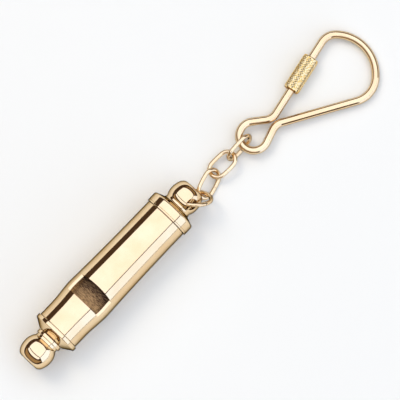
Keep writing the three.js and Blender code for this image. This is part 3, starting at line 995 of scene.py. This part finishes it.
@dataclass
class RingAndChain:
    """The jump ring and the three oval links.

    The seam is the angle round the ring of its butted ends, in degrees, and a hang is the distance from a
    link's near hinge back to the middle of its end bar.
    """

    shop: Workshop
    ring_wire: float = 1.08 * MM
    ring_radius: float = 5 * MM
    ring_reach: float = 2.38 * MM
    ring_seam: float = 75
    ring_hang: float = 1.25 * MM
    link_wire: float = 1.1 * MM
    link_length: float = 7.88 * MM
    link_width: float = 4.66 * MM
    link_end_radius: float = 2.24 * MM
    link_hang: float = 1.62 * MM
    butt_gap: float = 0.12 * MM
    step: float = 0.12 * MM
    section: int = 28

    def build(self) -> None:
        """Makes the ring and the links."""
        self.ring()
        hung = ("link_1_swing", "link_2_swing", "link_3_swing", "hook_swing")
        bodies = (Body.LINK_1, Body.LINK_2, Body.LINK_3)
        for number, body in enumerate(bodies):
            back = self.ring_hang if number == 0 else self.link_hang
            self.link(number + 1, body, hung[number], hung[number + 1], back)

    def ring(self) -> None:
        """Bends the jump ring, which swings about the ball's hole."""
        origin = pivot("ring_swing")
        hole = direction("ring_swing")
        out = pivot("link_1_swing") - origin
        out -= hole * out.dot(hole)
        gap = self.butt_gap / self.ring_radius
        seam = math.radians(self.ring_seam) + gap / 2
        path = [Vector((math.cos(seam), math.sin(seam), 0)) * self.ring_radius]
        bend(path, seam + math.pi / 2, self.ring_radius, 360 - math.degrees(gap), self.step)
        mesh = self.shop.drawn_wire("ring", path, self.ring_wire / 2, self.section, Slot.POLISHED)
        mesh.transform(Matrix.Translation((self.ring_reach, 0, 0)))
        mesh.transform(placed(origin, out, hole))
        self.shop.hand_over(mesh, "wire_ring", Body.RING, Slot.POLISHED, "jump_ring")

    def link_path(self) -> list[Vector]:
        """Follows a link's wire round its two end bends and two bowed sides, from butt to butt."""
        end = self.link_end_radius
        reach = self.link_length / 2 - end
        half = self.link_width / 2
        side = (reach ** 2 + half ** 2 - end ** 2) / (2 * (half - end))
        end_turn = 2 * math.degrees(math.atan2(side - half, reach))
        side_turn = 180 - end_turn
        gap = self.butt_gap / side
        half_turn = (side_turn - math.degrees(gap)) / 2
        path = [Vector((side * math.sin(gap / 2), side * (1 - math.cos(gap / 2)) - half, 0))]
        heading = gap / 2
        bends = ((side, half_turn), (end, end_turn), (side, side_turn), (end, end_turn),
                 (side, half_turn))
        for radius, turn in bends:
            heading = bend(path, heading, radius, turn, self.step)
        return path

    def link(self, number: int, body: Body, hung_from: str, carries: str, back: float) -> None:
        """Bends one oval link.

        Args:
            number: The link's number from the ring.
            body: The body that it moves with.
            hung_from: The hinge at its near end.
            carries: The hinge at its far end, whose axis lies along the link's width.
            back: Distance from the near hinge back to the middle of the near end bar.
        """
        mesh = self.shop.drawn_wire(f"link {number}", self.link_path(), self.link_wire / 2,
                                    self.section, Slot.POLISHED)
        mesh.transform(Matrix.Translation((self.link_length / 2 - back, 0, 0)))
        origin = pivot(hung_from)
        mesh.transform(placed(origin, pivot(carries) - origin, direction(carries)))
        self.shop.hand_over(mesh, f"oval_link_{number}", body, Slot.POLISHED, f"chain_link_{number}")


@dataclass
class KeyHook:
    """The wire hook and the knurled sleeve that closes it.

    The straights and bends follow the wire from its nose, a bend having a radius and an angle in degrees.
    Yaw, pitch and roll say how the hook lies, in degrees.
    """

    shop: Workshop
    wire: float = 2.1 * MM
    nose: float = 10.05 * MM
    crown_radius: float = 4.4 * MM
    crown_bend: float = 57.3
    bow_radius: float = 10.4 * MM
    bow_bend: float = 90
    side: float = 0.6 * MM
    heel_radius: float = 6.76 * MM
    heel_bend: float = 73.8
    leg: float = 20.7 * MM
    pinch_radius: float = 3.64 * MM
    pinch_bend: float = 47.9
    throat: float = 3.7 * MM
    eye_radius: float = 3.8 * MM
    eye_bend: float = 236.1
    sleeve_length: float = 10.1 * MM
    sleeve_radius: float = 2.2 * MM
    sleeve_bore: float = 1.195 * MM
    sleeve_chamfer: float = 0.22 * MM
    sleeve_segments: int = 72
    nose_grip: float = 2.2 * MM
    gate_gap: float = 3 * MM
    knurl_height: float = 0.1 * MM
    knurl_root: float = 0.03 * MM
    knurl_pitch: float = 0.8 * MM
    knurl_columns: int = 21
    knurl_sharp: float = 25
    thread_pitch: float = 0.35 * MM
    thread_depth: float = 0.06 * MM
    thread_sharp: float = 40
    step: float = 0.2 * MM
    section: int = 36
    yaw: float = 11
    pitch: float = -0.8
    roll: float = 3

    def build(self) -> None:
        """Makes the hook's wire, its threads and the sleeve."""
        place = self.place()
        wire = self.shop.drawn_wire("hook", self.route(), self.wire / 2, self.section, Slot.POLISHED)
        wire.transform(place)
        self.shop.hand_over(wire, "bent_hook", Body.HOOK, Slot.POLISHED, "hook_wire")
        nose_end = self.sleeve_length / 2 - self.nose_grip
        leg_end = nose_end - self.gate_gap
        self.thread("nose_thread", nose_end, self.nose_grip - 2 * self.thread_pitch, place)
        run = self.sleeve_length / 2 + leg_end - 2 * self.thread_pitch
        self.thread("leg_thread", leg_end - run, run, place)
        self.sleeve(place)

    def route(self) -> list[Vector]:
        """Follows the wire's middle from its nose round the hook and the eye, back to the sleeve."""
        nose_end = self.sleeve_length / 2 - self.nose_grip
        path = [Vector((nose_end, 0, 0))]
        step = self.step
        run_on(path, 0, self.nose - nose_end, step)
        heading = bend(path, 0, self.crown_radius, -self.crown_bend, step)
        heading = bend(path, heading, self.bow_radius, -self.bow_bend, step)
        run_on(path, heading, self.side, step)
        heading = bend(path, heading, self.heel_radius, -self.heel_bend, step)
        run_on(path, heading, self.leg, step)
        heading = bend(path, heading, self.pinch_radius, self.pinch_bend, step)
        run_on(path, heading, self.throat, step)
        heading = bend(path, heading, self.eye_radius, -self.eye_bend, step)
        last_bend = -math.degrees(math.remainder(heading, math.tau))
        trial = [path[-1]]
        bend(trial, heading, self.pinch_radius, last_bend, step)
        run_on(path, heading, -trial[-1].y / math.sin(heading), step)
        bend(path, heading, self.pinch_radius, last_bend, step)
        run_on(path, 0, nose_end - self.gate_gap - path[-1].x, step)
        return path

    def place(self) -> Matrix:
        """Finds the hook's frame from the middle of the sleeve and the way that the hook lies."""
        low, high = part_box("lock_sleeve")
        turn = Matrix.Rotation(math.radians(self.yaw), 4, "Z")
        turn @= Matrix.Rotation(math.radians(-self.pitch), 4, "Y")
        turn @= Matrix.Rotation(math.radians(self.roll), 4, "X")
        return Matrix.Translation((low + high) / 2) @ turn

    def thread(self, name: str, start: float, length: float, place: Matrix) -> None:
        """Cuts a fine thread on the wire where the sleeve covers it.

        Args:
            name: Name of the piece.
            start: Where the thread starts along the sleeve's axis.
            length: Its length.
            place: The hook's frame.
        """
        values = {"Radius": self.wire / 2, "Length": length, "Turns": length / self.thread_pitch,
                  "Depth": self.thread_depth, "Material": self.shop.polished}
        mesh = self.shop.thread.run(bpy.data.meshes.new(name), name, values)
        mesh.transform(Matrix.Translation((start, 0, 0)) @ Matrix.Rotation(math.pi / 2, 4, "Y"))
        mesh.transform(place)
        self.shop.hand_over(smoothed(mesh, self.thread_sharp), name, Body.HOOK, Slot.POLISHED, None)

    def sleeve(self, place: Matrix) -> None:
        """Turns the lock sleeve and rolls its knurl."""
        half = self.sleeve_length / 2
        body = self.sleeve_radius - self.knurl_height
        shoulder = self.sleeve_radius - self.sleeve_chamfer
        profile = [
            (self.sleeve_bore, -half), (shoulder, -half), (body, self.sleeve_chamfer - half),
            (body, half - self.sleeve_chamfer), (shoulder, half), (self.sleeve_bore, half),
        ]
        blank = turned("sleeve blank", profile, self.sleeve_segments)
        rows = round((self.sleeve_length - 2 * self.sleeve_chamfer) / self.knurl_pitch * 2) - 1
        values = {"Radius": body - self.knurl_root, "Height": self.knurl_height + self.knurl_root,
                  "Pitch": self.knurl_pitch, "Columns": self.knurl_columns, "Rows": rows,
                  "Material": self.shop.knurled}
        mesh = self.shop.knurl.run(blank, "sleeve", values)
        mesh.transform(place)
        smoothed(mesh, self.knurl_sharp)
        self.shop.hand_over(mesh, "knurled_sleeve", Body.SLEEVE, Slot.KNURLED, "lock_sleeve")


@dataclass(frozen=True)
class Panel:
    """A softbox, as the angles from upright of its edges seen from the keyring, in degrees.

    The angles along are counted towards +X. A level panel hangs overhead, and its angles across are
    counted towards +Y. A standing panel stands beyond -Y, and its angles across are counted towards -Y. One
    that isn't seen lights the table and leaves no reflection in the metal.
    """

    name: str
    standing: bool
    along: tuple[float, float]
    across: tuple[float, float]
    level: float
    colour: str
    seen: bool = True


@dataclass
class Studio:
    """Pale floor, softboxes with thin gaps between them, dim fills, a key light and the camera."""

    azimuth: float = -46.41
    elevation: float = 84
    pixel: float = 0.26 * MM
    look_at: Vector = field(default_factory=lambda: Vector((0.37, 1.72, 6.65)) * MM)
    distance: float = 1.2
    sensor: float = 36 * MM
    floor_side: float = 8
    floor_colour: str = "#F2F3EC"
    floor_roughness: float = 0.9
    room_colour: str = "#4A3A30"
    lamp_distance: float = 2.2
    panels: tuple[Panel, ...] = (
        Panel("overhead softbox", False, (-18, 50), (-43.5, 60), 1.6, "#E6EEFF"),
        Panel("mouth softbox", False, (-36, -22), (-48, 60), 1.5, "#E6EEFF"),
        Panel("mouth fill", False, (-76, -46), (-74, 74), 0.3, "#FFDDA8"),
        Panel("hook fill", False, (58, 76), (-60, 60), 0.22, "#FFDDA8"),
        Panel("side softbox", True, (-18, 48), (47, 88.5), 1.75, "#CFE1FF"),
        Panel("key light", False, (-12, 12), (24, 46), 6.0, "#FFE9C8", seen=False),
    )

    def build(self) -> None:
        """Makes the floor, the room, the lamps and the camera."""
        self.floor()
        self.room()
        for panel in self.panels:
            self.softbox(panel)
        self.camera()

    def floor(self) -> None:
        """Lays a pale matt sheet under the keyring."""
        half = self.floor_side / 2
        mesh = bpy.data.meshes.new("floor")
        corners = [(-half, -half, 0), (half, -half, 0), (half, half, 0), (-half, half, 0)]
        mesh.from_pydata(corners, [], [(0, 1, 2, 3)])
        made = bpy.data.materials.new("white card")
        made.use_nodes = True
        shader = made.node_tree.nodes["Principled BSDF"]
        shader.inputs["Base Color"].default_value = linear(self.floor_colour)
        shader.inputs["Roughness"].default_value = self.floor_roughness
        shader.inputs["Specular IOR Level"].default_value = 0
        mesh.materials.append(made)
        thing = in_scene("floor", mesh)

    def room(self) -> None:
        """Leaves the room round the lamps dim, so that the metal has something dark to show."""
        world = bpy.data.worlds.new("dim room")
        world.use_nodes = True
        world.node_tree.nodes["Background"].inputs["Color"].default_value = linear(self.room_colour)
        bpy.context.scene.world = world

    def softbox(self, panel: Panel) -> None:
        """Hangs or stands a rectangular lamp.

        Args:
            panel: The lamp's place, size and light.
        """
        left, right = (self.lamp_distance * math.tan(math.radians(angle)) for angle in panel.along)
        near, far = (math.tan(math.radians(angle)) for angle in panel.across)
        if panel.standing:
            near, far = 1 / far, 1 / near
        near, far = near * self.lamp_distance, far * self.lamp_distance
        data = bpy.data.lights.new(panel.name, "AREA")
        data.shape = "RECTANGLE"
        data.size = right - left
        data.size_y = far - near
        data.energy = panel.level * math.pi * data.size * data.size_y
        data.color = linear(panel.colour)[:3]
        thing = in_scene(panel.name, data)
        thing.visible_glossy = panel.seen
        middle = Vector(((left + right) / 2, (near + far) / 2, self.lamp_distance))
        upright = Vector((0, 1, 0))
        if panel.standing:
            middle = Vector((middle.x, -self.lamp_distance, middle.y))
            upright = Vector((0, 0, 1))
        thing.matrix_world = placed(self.look_at + middle, Vector((1, 0, 0)), upright)

    def camera(self) -> None:
        """Sets the camera over the table at the photograph's angle."""
        data = bpy.data.cameras.new("camera")
        data.sensor_width = self.sensor / MM
        data.lens = data.sensor_width * self.distance / (PHOTO_SIDE * self.pixel)
        thing = in_scene("camera", data)
        turn, rise = math.radians(self.azimuth), math.radians(self.elevation)
        level = math.cos(rise)
        back = Vector((math.sin(turn) * level, -math.cos(turn) * level, math.sin(rise)))
        thing.location = self.look_at + back * self.distance
        thing.rotation_mode = "QUATERNION"
        thing.rotation_quaternion = (-back).to_track_quat("-Z", "Y")
        bpy.context.scene.camera = thing


def main() -> None:
    """Builds the keyring and its studio in order."""
    logging.basicConfig(level=logging.INFO, format="%(name)s: %(message)s")
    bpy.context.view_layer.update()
    bpy.context.scene.view_settings.view_transform = "Standard"
    Studio().build()
    shop = Workshop()
    Whistle(shop).build()
    RingAndChain(shop).build()
    KeyHook(shop).build()


if __name__ == "__main__":
    main()
